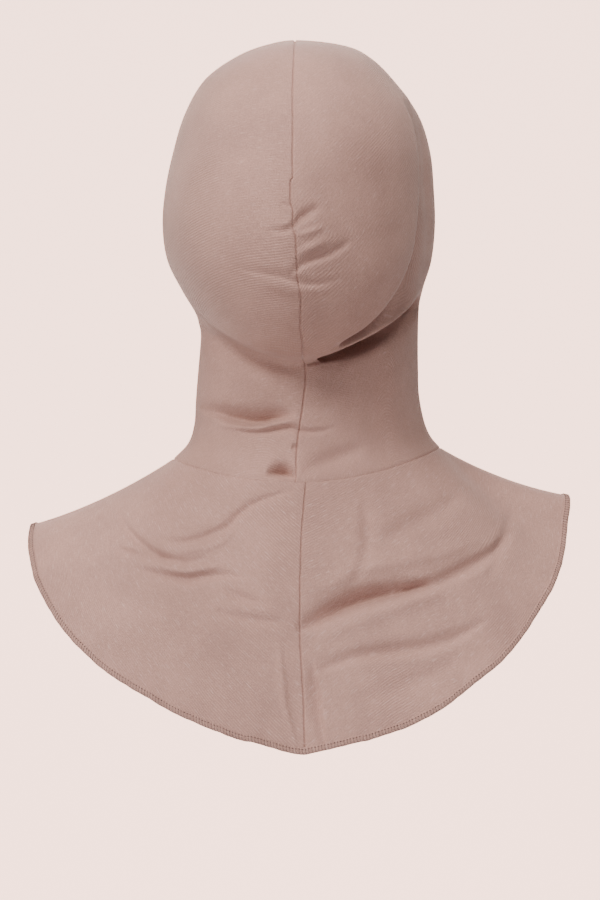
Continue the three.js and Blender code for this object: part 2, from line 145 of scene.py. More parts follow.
# The cape's slopes, from the centre back to the centre front, by bearing at the neck seam. left and
# right are shares of half the cape's width, depth of its depth at the back or, below zero, at the
# front. Drops are shares of its length below the neck seam, and out and up bow the slope.
Slope = namedtuple("Slope", "bearing depth left left_drop right right_drop out up")
CAPE_SLOPES = [Slope(*row) for row in (
    (0, 1.000, 0.000, 1.005, 0.000, 1.005, 0.05, 0.00),
    (12, 1.000, 0.161, 0.967, 0.168, 0.967, 0.05, 0.00),
    (24, 0.990, 0.301, 0.924, 0.322, 0.924, 0.05, 0.00),
    (36, 0.962, 0.485, 0.836, 0.495, 0.836, 0.05, 0.01),
    (46, 0.913, 0.627, 0.750, 0.599, 0.750, 0.05, 0.02),
    (55, 0.846, 0.749, 0.663, 0.710, 0.663, 0.05, 0.02),
    (65, 0.721, 0.869, 0.533, 0.812, 0.533, 0.04, 0.00),
    (74, 0.567, 0.952, 0.402, 0.898, 0.402, 0.02, -0.03),
    (83, 0.346, 1.000, 0.255, 0.952, 0.262, 0.00, -0.05),
    (92, 0.110, 1.002, 0.174, 0.984, 0.070, 0.00, -0.05),
    (102, -0.125, 0.978, 0.200, 0.960, 0.090, 0.00, -0.04),
    (114, -0.375, 0.930, 0.310, 0.915, 0.240, 0.02, -0.02),
    (127, -0.625, 0.830, 0.480, 0.820, 0.430, 0.03, 0.02),
    (142, -0.821, 0.640, 0.655, 0.640, 0.630, 0.04, 0.03),
    (160, -0.946, 0.332, 0.805, 0.332, 0.797, 0.05, 0.03),
    (180, -1.000, 0.000, 0.870, 0.000, 0.870, 0.05, 0.03),
)]

# Where the centre back seam runs, with its small jogs: drop, then x as a share of half the width.
HOOD_SEAM = (
    (0.000, 0.058), (0.033, 0.059), (0.205, 0.072), (0.331, 0.070), (0.421, 0.073), (0.473, 0.069),
    (0.480, 0.087), (0.550, 0.087), (0.569, 0.068), (0.619, 0.072), (0.649, 0.049), (0.761, 0.041),
    (0.816, 0.016), (0.911, 0.018), (0.947, 0.005), (0.997, 0.002),
)
NECK_SEAM = (
    (0.034, -0.022), (0.193, -0.021), (0.411, 0.006), (0.576, 0.035), (0.742, 0.056), (0.971, 0.061),
    (1.200, 0.061),
)
CAPE_SEAM = (
    (0.008, -0.008), (0.182, 0.005), (0.368, 0.010), (0.590, 0.010), (0.810, -0.002), (0.991, -0.007),
    (1.200, -0.010),
)

# The photograph's view: the column of pixels that shows the middle of the cap, the row that shows
# height, the length that a pixel spans at the cap's middle, how far away the camera stands, and how
# far to the cap's left.
Photo = namedtuple("Photo", "column row height pixel distance aside")
PHOTO = Photo(303, 450, -0.2358, 0.00058, 1.9, 0.0017)
MILLIMETRE = 0.001

# Folds of the back. Each follows a line of pixels of the photograph. lift is its height, below zero
# for a valley. before is how far it reaches to the photograph's left of a line that runs down, or
# below one that runs to the right, and after how far on its other side, all three in millimetres.
Fold = namedtuple("Fold", "line before after lift")
FOLDS = (
    # the edge of the hood's full part, on the right, and the valley beyond it
    Fold(((405, 100), (416, 120), (423, 148), (425.5, 180), (425, 208), (422.5, 236), (417.5, 260),
          (407, 285), (395, 304), (381, 320), (366, 332), (347, 342), (330, 350)), 2, 6.5, -12),
    Fold(((404, 291), (394, 306), (382, 318), (368, 330), (354, 339), (341, 346)), 0.8, 2.6, -8),
    # the flatter cloth inside that edge, which turns down towards it
    Fold(((408, 235), (398, 256), (376, 276), (356, 296), (342, 318), (332, 340)), 13, 7, 2.2),
    # the small roll between that edge and the fold at the nape
    Fold(((424, 285), (415, 303), (402, 316), (386, 328), (368, 339), (352, 347)), 2.2, 2.4, 2.4),
    # the fold at the nape, deep on the right and shallow on the left
    Fold(((431, 281), (423, 294), (414, 308), (403, 319), (390, 330), (373, 341), (352, 351), (330, 358),
          (308, 362.5), (292, 364)), 2, 7, -5),
    Fold(((425, 291), (418, 303), (408, 315), (396, 326), (382, 336), (366, 344), (350, 350.5),
          (336, 355), (322, 359)), 1, 3, -22),
    Fold(((352, 350), (338, 355), (322, 359.5), (310, 362.5), (300, 364)), 0.8, 1.6, -4),
    Fold(((417, 305), (406, 317), (394, 328), (380, 337), (362, 346)), 0.8, 2.2, -13),
    Fold(((196, 311), (204, 322), (214, 332), (227, 341), (244, 350), (263, 356), (283, 360.5),
          (306, 363)), 9, 1.6, -6.5),
    # puckers beside the centre seam
    Fold(((294, 228), (298, 221), (304, 216), (311, 212), (320, 207)), 2.4, 3, -2.6),
    Fold(((266, 230), (279, 231.5), (289, 229), (296, 224), (301, 218)), 1.6, 2.4, -1.3),
    Fold(((295, 235), (303, 234), (313, 231), (324, 226)), 1.8, 1.8, 1.3),
    Fold(((278, 225), (285, 224), (292, 221)), 1.4, 1.4, 0.6),
    Fold(((296, 256), (306, 250), (318, 244), (331, 238)), 2.6, 2.6, 1.1),
    Fold(((288, 276), (297, 269), (305, 263), (314, 259), (325, 256), (338, 250), (352, 240)),
          2, 3.6, -2.6),
    Fold(((236, 268), (252, 272), (267, 274.5), (282, 277), (294, 281), (306, 284), (322, 284),
          (340, 280)), 1.6, 3.2, -1.3),
    Fold(((250, 282), (272, 286), (296, 291), (320, 291), (340, 286)), 3, 3, 0.8),
    Fold(((279, 204), (286, 205), (293, 209)), 1.2, 1.6, -0.9),
    Fold(((296, 247), (308, 242), (318, 238)), 1.3, 1.3, -0.5),
    # the dent on the left, below its soft ridge
    Fold(((200, 409), (211, 413), (224, 417.5), (240, 421.5), (257, 423), (274, 419), (296, 415)),
          1.6, 7.4, -8.5),
    Fold(((214, 424), (236, 427), (258, 427), (280, 423), (300, 421)), 1.8, 1.6, 1.5),
    # the crease below it, across the seam
    Fold(((230, 428.5), (243, 432), (258, 433), (274, 431), (289, 428.5), (303, 431.5), (318, 432),
          (338, 427)), 1.5, 2.2, -2.6),
    # small dents at the seam, and the pocket above the neck seam
    Fold(((291, 447), (300, 448)), 1.6, 1.6, -1.8),
    Fold(((266, 474), (277, 475.5), (287, 477), (298, 478)), 1, 6.2, -8),
    Fold(((258, 482), (274, 482), (291, 481)), 1.5, 1.5, 0.8),
    # the slack on the right
    Fold(((302, 470), (322, 464), (342, 457), (366, 446)), 4, 6, -2.8),
    # drapes of the cape's left half, as the photograph shows it
    Fold(((150, 536), (165, 541), (182, 543), (200, 539), (217, 532.5), (229, 526), (239, 515),
          (255, 504), (276, 496), (297, 490)), 2, 3.2, -2.8),
    Fold(((118, 510), (126, 530), (141, 546), (157, 556), (174, 561), (191, 562), (207, 558)),
          2.2, 3.4, -3.4),
    Fold(((108, 547), (128, 553), (149, 558), (172, 561.5)), 2, 2.8, -2.3),
    Fold(((132, 567), (154, 574), (174, 579), (191, 580.5), (208, 577), (228, 576), (247, 580)),
          2.2, 3.4, -3.2),
    Fold(((150, 551), (164, 566), (184, 571), (207, 568), (228, 563)), 2, 2, 1.1),
    Fold(((172, 550), (196, 549), (219, 543), (236, 531)), 2.6, 2.6, 1.3),
    Fold(((222, 588), (238, 597), (254, 602), (266, 606)), 3, 3.4, -2),
    Fold(((216, 611), (240, 618), (268, 622), (288, 622)), 3, 3.6, -2),
    Fold(((60, 560), (100, 590), (140, 604), (176, 606)), 8, 9, -1.8),
    # drapes of its right half
    Fold(((296, 631), (318, 623), (343, 611), (366, 603), (392, 597), (416, 591), (436, 586)),
          2.6, 8.5, -10.5),
    Fold(((396, 597), (418, 590), (440, 583), (461, 573), (482, 562), (502, 547), (514, 530)),
          2.8, 5.4, -4.6),
    Fold(((302, 592), (330, 584), (360, 568), (400, 561), (440, 554), (480, 538)), 4.5, 7, 1.8),
    Fold(((316, 640), (345, 627), (378, 613), (412, 602), (446, 594)), 5, 5, 1.6),
    Fold(((362, 500), (367, 530), (365, 558), (352, 584)), 4, 5, -1.6),
    Fold(((314, 673), (334, 665), (350, 659), (372, 655), (398, 652), (425, 648), (450, 641), (470, 631),
          (488, 619)), 3, 5.6, -3.8),
    Fold(((380, 541), (402, 529), (424, 519), (446, 508), (462, 492)), 6, 7, -2.4),
    Fold(((487, 580), (499, 556), (507, 532), (513, 506)), 4, 4, -1.6),
    Fold(((350, 700), (390, 692), (430, 676), (466, 654)), 7, 7, -1.6),
    Fold(((420, 716), (450, 696), (478, 672), (500, 650)), 5, 5, 0.8),
    # the seam allowances, pressed open under the cloth near the hem
    Fold(((279, 640), (282, 675), (285, 703), (291, 728), (298, 751)), 2.8, 2, 1.4),
    Fold(((312, 660), (317, 692), (321, 722), (327, 750)), 5, 1.6, -2.8),
)


# The floor and the wall of the stage, the bend between them, and how many strips it is made of.
Stage = namedtuple("Stage", "floor near far bend top width strips")
STAGE = Stage(floor=-1.25, near=3.0, far=3.2, bend=0.7, top=3.6, width=9, strips=60)

# The round patch of the wall that glows: its middle, and how far from it the glow starts and is full.
GLOW_MIDDLE = (0.0, -STAGE.far, -0.25)
GLOW_STARTS, GLOW_FULL = 1.3, 0.95

# Lights of the stage, all aimed at the cap. power names the setting, and share how much of it.
Light = namedtuple("Light", "name place size power share colour")
WARM = (1.0, 0.965, 0.93)
PLAIN = (1.0, 0.99, 0.98)
COOL = (0.88, 0.94, 1.0)
DAY = (0.95, 0.98, 1.0)
LIGHTS = (
    Light("key", (1.0, 1.25, 1.15), 0.6, "key", 1, WARM),
    Light("high", (0.0, 1.4, 1.6), 0.6, "high", 1, WARM),
    Light("top", (0.0, -0.2, 1.9), 0.7, "top", 1, WARM),
    Light("side_high", (1.6, 0.5, 1.1), 0.6, "side", 1, WARM),
    Light("side_level", (1.8, 0.4, 0.2), 0.6, "side", 0.55, WARM),
    Light("right", (-0.95, 1.05, 1.45), 0.6, "right", 1, PLAIN),
    Light("low", (0.0, 1.3, -1.0), 0.5, "low", 1, COOL),
    Light("front", (0.0, -1.7, 1.0), 0.8, "front", 1, DAY),
)

# Sockets of a Mix node for colours, by their place among its inputs and its outputs.
MIX_FACTOR, MIX_FIRST, MIX_SECOND, MIX_RESULT = 0, 6, 7, 2


def a_length(name, description, metres):
    return FloatProperty(name=name, description=description, default=metres, unit="LENGTH")


def a_power(name, description, watts):
    return FloatProperty(name=name, description=description, default=watts, unit="POWER")


def a_strength(name, description, default):
    return FloatProperty(name=name, description=description, default=default)


def a_colour(name, description, channels):
    return FloatVectorProperty(
        name=name, description=description, default=channels, subtype="COLOR", size=3, min=0, max=1
    )


class HoodSizes(bpy.types.PropertyGroup):
    """Sizes of the hood as worn"""

    height: a_length("Height", "Crown down to the fold at the nape", 0.187)
    width: a_length("Width", "Across the hood at its widest", 0.158)
    back: a_length("Back", "Crown back to the hood's farthest point", 0.115)
    front: a_length("Front", "Crown forward to the hood's foremost point", 0.099)
    neck_height: a_length("Neck height", "Nape to neck seam", 0.068)
    neck_width: a_length("Neck width", "Across the hood's neck", 0.128)
    neck_back: a_length("Neck back", "The neck's centre to its back", 0.056)
    neck_front: a_length("Neck front", "The neck's centre to its front", 0.056)
    forehead: a_length("Forehead", "Crown down to the face opening", 0.064)
    cheek: a_length("Cheek", "Hood beside the face opening", 0.026)
    chin: a_length("Chin", "Nape down to the opening's lowest point", 0.027)
    chin_narrows: a_strength("Chin narrows", "How much narrower the opening is at its foot", 0.22)
    hem_side: a_length("Hem beside", "Width of the face hem at its sides", 0.005)
    hem_end: a_length("Hem at ends", "Width of the face hem at its top and foot", 0.008)


class CapeSizes(bpy.types.PropertyGroup):
    """Sizes of the cape as worn"""

    width: a_length("Width", "Across the cape", 0.313)
    length: a_length("Length", "Neck seam down to the back hem's lowest point", 0.148)
    back: a_length("Back", "The neck's centre to the back hem", 0.104)
    front: a_length("Front", "The neck's centre to the front hem", 0.112)
    hem: a_length("Hem", "Width of the overlocked edge", 0.0045)
    wave: a_length("Wave", "How far the edge strays from an even line", 0.0005)


class JerseyLook(bpy.types.PropertyGroup):
    """The cloth's make and colours"""

    thickness: a_length("Thickness", "Of the jersey", 0.0012)
    hem_thickness: a_length("Hem thickness", "Of the turned and the overlocked edge", 0.0022)
    seam_gap: a_length("Seam gap", "Clearance of sewn panels, of which a small share shows", 0.0003)
    seam_depth: a_length("Seam depth", "How far the panels dip into a seam", 0.0009)
    seam_roll: a_length("Seam roll", "How wide the panels dip beside a seam", 0.0005)
    neck_seam: a_strength("Neck seam", "Share of that depth in the seam of hood and cape", 0.5)
    rib: a_length("Rib pitch", "Distance between the cloth's fine ribs", 0.0015)
    stitch: a_length("Stitch length", "Of the overlocked edge", 0.0018)
    colour: a_colour("Cloth", "Colour of the jersey", (0.462, 0.256, 0.207))
    slub: a_colour("Slubs", "Colour of the light threads in the jersey", (0.650, 0.430, 0.375))
    # shade is the jersey's darker mottling, and is also painted shade in the rib grooves
    shade: a_colour("Shade", "Colour of the jersey's darker mottling", (0.330, 0.180, 0.146))
    thread: a_colour("Thread", "Colour of the sewing thread", (0.130, 0.072, 0.058))


class StudioLook(bpy.types.PropertyGroup):
    """The plain stage and its light"""

    distance: a_length("Camera distance", "Camera to the middle of the cap", PHOTO.distance)
    view_height: a_length("View height", "What the picture's long side shows at the cap", 0.522)
    floor: a_colour("Floor", "Colour of the floor", (0.62, 0.60, 0.59))
    wall: a_colour("Wall", "Colour of the glowing part of the wall", (0.88, 0.56, 0.46))
    key: a_power("Key light", "Strength of the light at the upper left", 35.0)
    high: a_power("High light", "Strength of the light above the camera", 26.0)
    top: a_power("Top light", "Strength of the light overhead", 26.0)
    side: a_power("Side light", "Strength of the two lights on the cap's left", 13.0)
    right: a_power("Right light", "Strength of the light on the cap's right", 11.0)
    low: a_power("Low light", "Strength of the cool light from below", 9.0)
    front: a_power("Front light", "Strength of the light before the face opening", 22.0)
    room: a_strength("Room light", "Strength of the light all round", 0.06)
    wall_glow: a_strength("Wall glow", "Strength of the wall's glow", 4.2)


def settings():
    scene = bpy.context.scene
    return scene.cap_hood, scene.cap_cape, scene.cap_jersey


def blend(a, b, c, d, t):
    """A smooth value between b and c, at share t."""
    return b + 0.5 * t * (c - a + t * (2 * a - 5 * b + 4 * c - d + t * (3 * b - a - 3 * c + d)))


def smoothstep(low, high, value):
    share = np.clip((value - low) / (high - low), 0, 1)
    return share * share * (3 - 2 * share)


def unit(vectors):
    return vectors / np.maximum(np.linalg.norm(vectors, axis=-1, keepdims=True), 1e-12)


def distances(points, axis):
    """How far each place lies from the first one in its row or column, along the cloth."""
    steps = np.linalg.norm(np.diff(points, axis=axis), axis=-1)
    start = np.zeros_like(np.take(steps, [0], axis))
    return np.concatenate([start, np.cumsum(steps, axis)], axis)


def hood_sections():
    """The hood's sections in metres, with one more at each end that carries the curves on."""
    hood, _, _ = settings()

    def scaled(rows, top, height, across, back, front):
        sizes = Section(across, across, height, across, height, across, height, back, height, front)
        tops = Section(0, 0, top, 0, top, 0, top, 0, top, 0)
        return np.array(rows) * sizes + tops

    head = scaled(HOOD_SECTIONS, 0, hood.height, hood.width / 2, hood.back, hood.front)
    neck = scaled(
        NECK_SECTIONS, hood.height, hood.neck_height, hood.neck_width / 2, hood.neck_back,
        hood.neck_front,
    )
    s = Section(*head[1])
    over_crown = Section(
        s.brow, s.seam, s.right_drop, -s.right, s.left_drop, -s.left, s.front_drop, -s.front,
        s.back_drop, -s.back,
    )
    below_neck = 2 * neck[-1] - neck[-2]
    return np.vstack([over_crown, head, neck, below_neck])


def seam_line(rows, top, height, across):
    """A seam's drops and its x, in metres."""
    drops, places = np.array(rows).T
    return top + drops * height, places * across


def back_seam():
    hood, _, _ = settings()
    head = seam_line(HOOD_SEAM, 0, hood.height, hood.width / 2)
    neck = seam_line(NECK_SEAM, hood.height, hood.neck_height, hood.neck_width / 2)
    return np.concatenate([head[0], neck[0]]), np.concatenate([head[1], neck[1]])


class HoodFace:
    """The hood's smooth outer face. A bearing turns from the back (0) over the cap's left (90) to
    the front (180), and is negative on the right. A level counts sections from the crown."""

    last = LAST_LEVEL
    jog_reach = 8.0

    def __init__(self):
        self.sections = hood_sections()
        self.seam = back_seam()
        self.top = settings()[2].thickness

    def section(self, level):
        """The section at each level."""
        i = np.clip(np.floor(level).astype(int), 0, self.last - 1)
        rows = (self.sections[i + step] for step in range(4))
        return Section(*np.moveaxis(blend(*rows, (level - i)[..., None]), -1, 0))

    def at(self, bearing, level):
        bearing, level = np.broadcast_arrays(np.asarray(bearing, float), np.asarray(level, float))
        s = self.section(level)
        sin, cos = np.sin(np.radians(bearing)), np.cos(np.radians(bearing))
        behind = cos >= 0
        middle = np.where(behind, s.seam, s.brow)
        jog = np.where(behind, np.interp(s.back_drop, *self.seam) - s.seam, 0)
        edge = np.where(sin >= 0, s.left, -s.right)
        side_drop = np.where(sin >= 0, s.left_drop, s.right_drop)
        end_drop = np.where(behind, s.back_drop, s.front_drop)
        return np.stack([
            middle + (edge - middle) * abs(sin) + jog * np.exp(-((bearing / self.jog_reach) ** 2)),
            np.where(behind, s.back, s.front) * cos,
            self.top - side_drop * sin**2 - end_drop * cos**2,
        ], -1)


def ripple(bearing, phase):
    """The uneven run of a stretched, overlocked edge, from -1 to 1."""
    turn = np.radians(bearing)
    waves = ((0.45, 23), (0.30, 41), (0.15, 67), (0.10, 113))
    return sum(size * np.sin(turns * turn + phase * (k + 1)) for k, (size, turns) in enumerate(waves))


def on_curve(start, pull, end, t):
    """A place on a curve that leaves start and reaches end, bent towards pull, at share t."""
    return (1 - t) ** 2 * start + 2 * t * (1 - t) * pull + t**2 * end


class CapeFace:
    """The cape's smooth outer face, by the bearing at the neck seam and the share of the way down."""

    last = 1.0
    steps = 32
    seam_reach = 30.0
    edge_starts = 0.80

    def __init__(self):
        hood, cape, jersey = settings()
        self.hood = HoodFace()
        self.gap = jersey.seam_gap * NECK_GAP_SHARE
        self.wave = cape.wave
        top = hood.height + hood.neck_height

        def slopes(side, row):
            across = row.left if side == LEFT else row.right
            drop = row.left_drop if side == LEFT else row.right_drop
            return (
                side * row.bearing,
                side * across * cape.width / 2,
                row.depth * (cape.back if row.depth > 0 else cape.front),
                top + drop * cape.length,
                row.out * cape.length,
                row.up * cape.length,
            )

        rows = [slopes(RIGHT, row) for row in CAPE_SLOPES[:0:-1]]
        rows += [slopes(LEFT, row) for row in CAPE_SLOPES]
        self.rows = np.array([rows[-2], *rows, rows[1]])
        shares = np.linspace(0, 1, self.steps + 1)
        self.turns = shares, np.zeros_like(shares)
        aside = 2.0
        right, middle, left = (self.at(turn, shares) for turn in (-aside, 0.0, aside))
        drops, places = seam_line(CAPE_SEAM, top, cape.length, cape.width / 2)
        moved = np.interp(self.hood.top - middle[:, 2], drops, places) - middle[:, 0]
        self.turns = shares, moved * 2 * aside / (left - right)[:, 0]

    def line(self, bearing):
        """The start, pull and end of the curves that the cape follows downwards."""
        turned = (bearing + 180) % 360 - 180
        i = np.searchsorted(self.rows[1:-1, 0], turned, side="right") - 1
        i = np.clip(i, 0, len(self.rows) - 4)
        share = (turned - self.rows[i + 1, 0]) / (self.rows[i + 2, 0] - self.rows[i + 1, 0])
        rows = blend(*(self.rows[i + step] for step in range(4)), share[..., None])
        _, across, depth, drop, out, up = np.moveaxis(rows, -1, 0)
        start = self.hood.at(bearing, self.hood.last)
        end = np.stack([across, depth, self.hood.top - drop], -1)
        away = unit(end * (1, 1, 0))
        pull = (start + end) / 2 + away * out[..., None] + up[..., None] * np.array((0, 0, 1))
        return start + unit(pull - start) * self.gap, pull, end

    def at(self, bearing, down):
        bearing, down = np.broadcast_arrays(np.asarray(bearing, float), np.asarray(down, float))
        bearing = bearing + np.interp(down, *self.turns) * np.exp(-((bearing / self.seam_reach) ** 2))
        start, pull, end = self.line(bearing)
        near_edge = smoothstep(self.edge_starts, 1.0, down)[..., None]
        end = end - np.array((0, 0, self.wave)) * ripple(bearing, 0.7)[..., None]
        run = self.run(start, pull, end)
        wanted = down * run[-1]
        i = np.clip((run <= wanted).sum(0) - 1, 0, self.steps - 1)
        before = np.take_along_axis(run, i[None], 0)[0]
        after = np.take_along_axis(run, i[None] + 1, 0)[0]
        t = ((i + (wanted - before) / (after - before)) / self.steps)[..., None]
        points = on_curve(start, pull, end, t)
        lifted = unit(points * (1, 1, 0)) * self.wave * near_edge * ripple(bearing, 2.1)[..., None]
        return points + lifted

    def run(self, start, pull, end):
        """How far along its curve each of its steps lies."""
        shares = np.linspace(0, 1, self.steps + 1).reshape((-1,) + (1,) * start.ndim)
        return distances(on_curve(start, pull, end, shares), 0)

    def length(self, bearing):
        return self.run(*self.line(np.asarray(bearing, float)))[-1]


def normals_of(face, bearing, down):
    step, turn = 0.004 if face.last > 1 else 0.002, 0.05
    inside = np.clip(down, step, face.last - step)
    round_ = face.at(bearing + turn, inside) - face.at(bearing - turn, inside)
    along = face.at(bearing, inside + step) - face.at(bearing, inside - step)
    return unit(np.cross(round_, along))


def seen(points):
    """Where the photograph shows each place, in its pixels."""
    shrink = PHOTO.distance / (PHOTO.distance - points[..., 1]) / PHOTO.pixel
    return PHOTO.column - points[..., 0] * shrink, PHOTO.row - (points[..., 2] - PHOTO.height) * shrink


def smooth_line(line, steps=6):
    """A line drawn smoothly through its points."""
    if len(line) < 3:
        return np.linspace(line[0], line[-1], steps + 1)
    padded = np.vstack([2 * line[0] - line[1], line, 2 * line[-1] - line[-2]])
    t = np.linspace(0, 1, steps, endpoint=False)[:, None]
    runs = [blend(*padded[i : i + 4], t) for i in range(len(line) - 1)]
    return np.vstack([*runs, line[-1:]])


def lift_of(fold, across, down):
    """How far one fold lifts each place, in metres, by the pixel that shows the place."""
    line = smooth_line(np.array(fold.line, float))
    before, after = fold.before * MILLIMETRE / PHOTO.pixel, fold.after * MILLIMETRE / PHOTO.pixel
    reach = 2.6 * max(before, after)
    low, high = line.min(0) - reach, line.max(0) + reach
    close = (across > low[0]) & (across < high[0]) & (down > low[1]) & (down < high[1])
    across, down = across[close], down[close]
    run = distances(line, 0)
    nearest = np.full(across.shape, np.inf)
    share = np.zeros(across.shape)
    side = np.zeros(across.shape)
    for i, (start, end) in enumerate(zip(line, line[1:])):
        step = end - start
        from_start = across - start[0], down - start[1]
        along = np.clip((from_start[0] * step[0] + from_start[1] * step[1]) / step.dot(step), 0, 1)
        away = from_start[0] - along * step[0], from_start[1] - along * step[1]
        gap = np.hypot(*away)
        closer = gap < nearest
        nearest = np.where(closer, gap, nearest)
        share = np.where(closer, (run[i] + along * (run[i + 1] - run[i])) / run[-1], share)
        side = np.where(closer, step[0] * away[1] - step[1] * away[0], side)
    fade = np.clip(np.sin(math.pi * share), 0, 1) ** 0.8
    width = np.where(side > 0, before, after) * (0.5 + 0.5 * fade)
    lifts = np.zeros(close.shape)
    lifts[close] = fold.lift * MILLIMETRE * fade * np.exp(-((nearest / width) ** 2))
    return lifts


def folded(face, bearing, down):
    """Places on a face with its folds, which fade where the face turns from the back."""
    points = face.at(bearing, down)
    normals = normals_of(face, bearing, down)
    fade = smoothstep(0.0, 0.02, points[..., 1])
    lift = sum(lift_of(fold, *seen(points)) for fold in FOLDS)
    return points + unit(normals * (1, 1, 0)) * (lift * fade)[..., None], normals


def new_object(name, bm, material):
    mesh = bpy.data.meshes.new(name)
    bm.normal_update()
    bm.to_mesh(mesh)
    bm.free()
    mesh.materials.append(material)
    mesh.shade_smooth()
    obj = bpy.data.objects.new(name, mesh)
    bpy.context.scene.collection.objects.link(obj)
    return obj


def sheet_grid(across, down):
    """A grid of cells, its vertices in rows, with each one's row and column."""
    bm = bmesh.new()
    bmesh.ops.create_grid(bm, x_segments=across, y_segments=down, size=0.5)
    bm.verts.ensure_lookup_table()
    places = np.array([vert.co for vert in bm.verts])
    columns = np.rint((places[:, 0] + 0.5) * across).astype(int)
    rows = np.rint((0.5 - places[:, 1]) * down).astype(int)
    return bm, rows, columns


def lay(bm, points):
    for vert, point in zip(bm.verts, points):
        vert.co = point


def give_uv(bm, flat):
    """Lays each vertex of a sheet at its place in the flat cloth, in metres."""
    layer = bm.loops.layers.uv.new("cloth")
    for face in bm.faces:
        for loop in face.loops:
            loop[layer].uv = flat[loop.vert.index]


def spread(face, rows, finer):
    """Levels for a panel's rows: evenly spaced down the hood, and finer below level 6."""
    samples, bearing = 1200, 25.0
    levels = np.linspace(0, face.last, samples)
    steps = np.linalg.norm(np.diff(face.at(np.full(samples, bearing), levels), axis=0), axis=-1)
    steps = steps * np.interp(levels[1:], (5, 7), (1.0, finer))
    run = np.concatenate([[0], np.cumsum(steps)])
    return np.interp(np.linspace(0, run[-1], rows), run, levels)


def turned_in(points, normals, flat, axis, end, lean):
    """The rows of a panel's turned-in edge: their places, normals and flat places."""
    edge, away = np.take(points, [end], axis), np.take(normals, [end], axis)
    laid = np.take(flat, [end], axis)
    sense = -1 if end == 0 else 1
    step = np.array((sense, 0)) if axis == 1 else np.array((0, -sense))
    rows = [(edge - away * depth + np.array(lean) * depth, away, laid + step * depth) for depth in FLANGE]
    rows = rows[::-1] if end == 0 else rows
    return [np.concatenate(parts, axis) for parts in zip(*rows)]


def panel_points(face, side, across, downs, sewn_end):
    """A panel's rows of places from the centre back to the centre front, with its turned-in edges.
    sewn_end is the row, first or last, that is sewn to the other part."""
    _, _, jersey = settings()
    share = np.linspace(0, 1, across + 1 - 2 * len(FLANGE))
    grid_b, grid_d = np.meshgrid(side * CENTRE_FRONT * share**CROWDING, downs)
    points, normals = folded(face, grid_b, grid_d)
    run, fall = distances(points, 1), distances(points, 0)
    flat = np.stack([run, -fall], -1)
    beside = np.minimum(run, run[:, -1:] - run)
    below = fall if sewn_end == 0 else fall[-1:] - fall
    dips = np.exp(-((beside / jersey.seam_roll) ** 2)), np.exp(-((below / jersey.seam_roll) ** 2))
    dip = np.maximum(dips[0], dips[1] * jersey.neck_seam)
    points = points - normals * (jersey.seam_depth * dip)[..., None]
    points[..., 0] += side * jersey.seam_gap * CENTRE_GAP_SHARE * dips[0]
    for axis, end, lean in ((0, sewn_end, (0, 0, -LEAN)), (1, 0, (LEAN, 0, 0)), (1, -1, (LEAN, 0, 0))):
        made = turned_in(points, normals, flat, axis, end, lean)
        joined = [(new, old) if end == 0 else (old, new) for new, old in zip(made, (points, normals, flat))]
        points, normals, flat = (np.concatenate(pair, axis) for pair in joined)
    return points, flat


def panel(name, face, side, across, downs, sewn_end, material):
    """A cloth panel: a sheet laid on one half of a face, with its outer side outwards."""
    points, flat = panel_points(face, side, across, downs, sewn_end)
    bm, rows, columns = sheet_grid(across, len(points) - 1)
    columns = across - columns if side == LEFT else columns
    lay(bm, points[rows, columns])
    give_uv(bm, flat[rows, columns])
    bmesh.ops.remove_doubles(bm, verts=bm.verts, dist=1e-6)
    return new_object(name, bm, material)


def panels(part, face, columns, downs, sewn_end, ribs):
    """A part's left and right panel, each with the node that it stands for."""
    for end, side, turned in (("left", LEFT, ribs.left), ("right", RIGHT, ribs.right)):
        node = f"{part}_{end}"
        material = jersey_material(f"jersey_{node}_cloth", turned, streaky=ribs.streaky)
        yield panel(f"{node}_cloth", face, side, columns, downs, sewn_end, material), node


def thicken(obj):
    """Gives a sheet its thickness, inwards."""
    _, _, jersey = settings()
    wall = obj.modifiers.new("Wall", "SOLIDIFY")
    wall.thickness = jersey.thickness
    wall.offset = -1
    wall.use_even_offset = False


def declare(obj, node=None):
    """Says that a finished piece stays on the part, and which node it replaces."""
    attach(obj, "root")
    if node:
        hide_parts(node)


def dress(obj, node):
    """Declares a finished sheet of cloth and what it stands for."""
    area = sum(polygon.area for polygon in obj.data.polygons)
    places = np.array([loop.uv for loop in obj.data.uv_layers["cloth"].data])
    declare(obj, node)


def opening():
    """Half the face opening's width and height inside its hem, and the height of its middle."""
    hood, _, _ = settings()
    high = (hood.height + hood.chin - hood.forehead) / 2
    return hood.width / 2 - hood.cheek, high, -hood.forehead - high


def face_outline(turn, hems):
    """The face opening's outline (x, z), with a share of its hem."""
    hood, _, _ = settings()
    wide, high, middle = opening()
    narrow = 1 - hood.chin_narrows * np.maximum(0, -np.sin(turn))
    x = (wide + hems * hood.hem_side) * np.cos(turn) * narrow
    return x, (high + hems * hood.hem_end) * np.sin(turn) + middle


def on_front(face, x, z):
    """The bearing and level of the hood's front that is seen at x and z from before it."""
    top, bottom = np.full(x.shape, 0.5), np.full(x.shape, float(face.last))
    for _ in range(40):
        level = (top + bottom) / 2
        s = face.section(level)
        reach = np.where(x > s.brow, s.left - s.brow, s.right + s.brow)
        share = np.minimum(1, abs(x - s.brow) / reach)
        bearing = np.where(x >= s.brow, 1, -1) * (180 - np.degrees(np.arcsin(share)))
        above = face.at(bearing, level)[..., 2] > z
        top, bottom = np.where(above, level, top), np.where(above, bottom, level)
    return bearing, top


